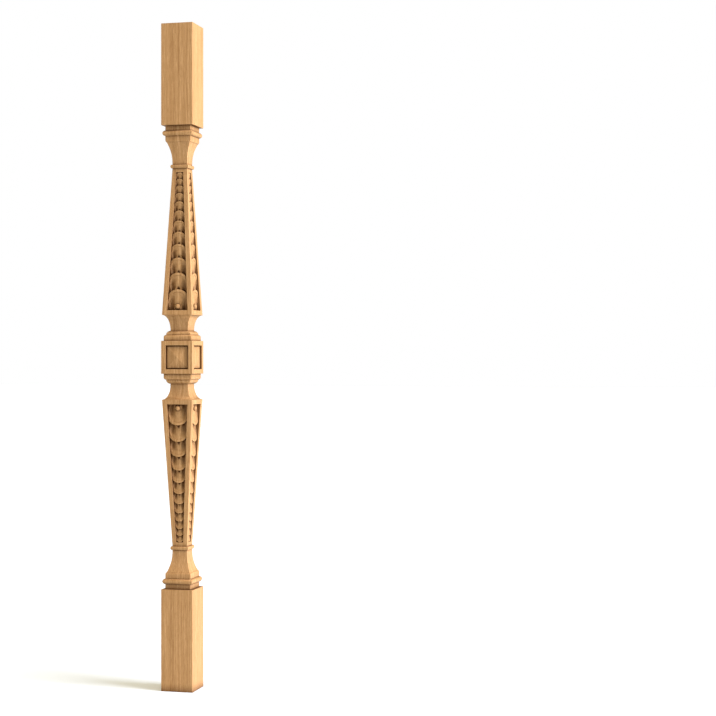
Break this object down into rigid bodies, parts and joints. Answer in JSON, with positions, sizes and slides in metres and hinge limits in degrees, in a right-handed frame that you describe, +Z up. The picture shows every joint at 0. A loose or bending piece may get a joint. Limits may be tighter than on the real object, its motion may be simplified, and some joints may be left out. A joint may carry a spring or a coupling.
{
  "type": "newel post",
  "caption": "Square newel post with a pyramid block at its middle, tapered shafts carved with overlapping coins, and plain square blocks at both ends.",
  "frame": {"origin": "centre of the underside, on the plane that the post stands on", "axes": "+Z up along the post; X and Y are square to its four sides, and -Y is the side that faces the viewer most"},
  "size_m": [0.06, 0.06, 1.212],
  "materials": {
    "oak": "planed and sanded light oak, unvarnished, with open grain"
  },
  "bodies": {
    "root": {"newel_post": "oak"}
  },
  "joints": []
}
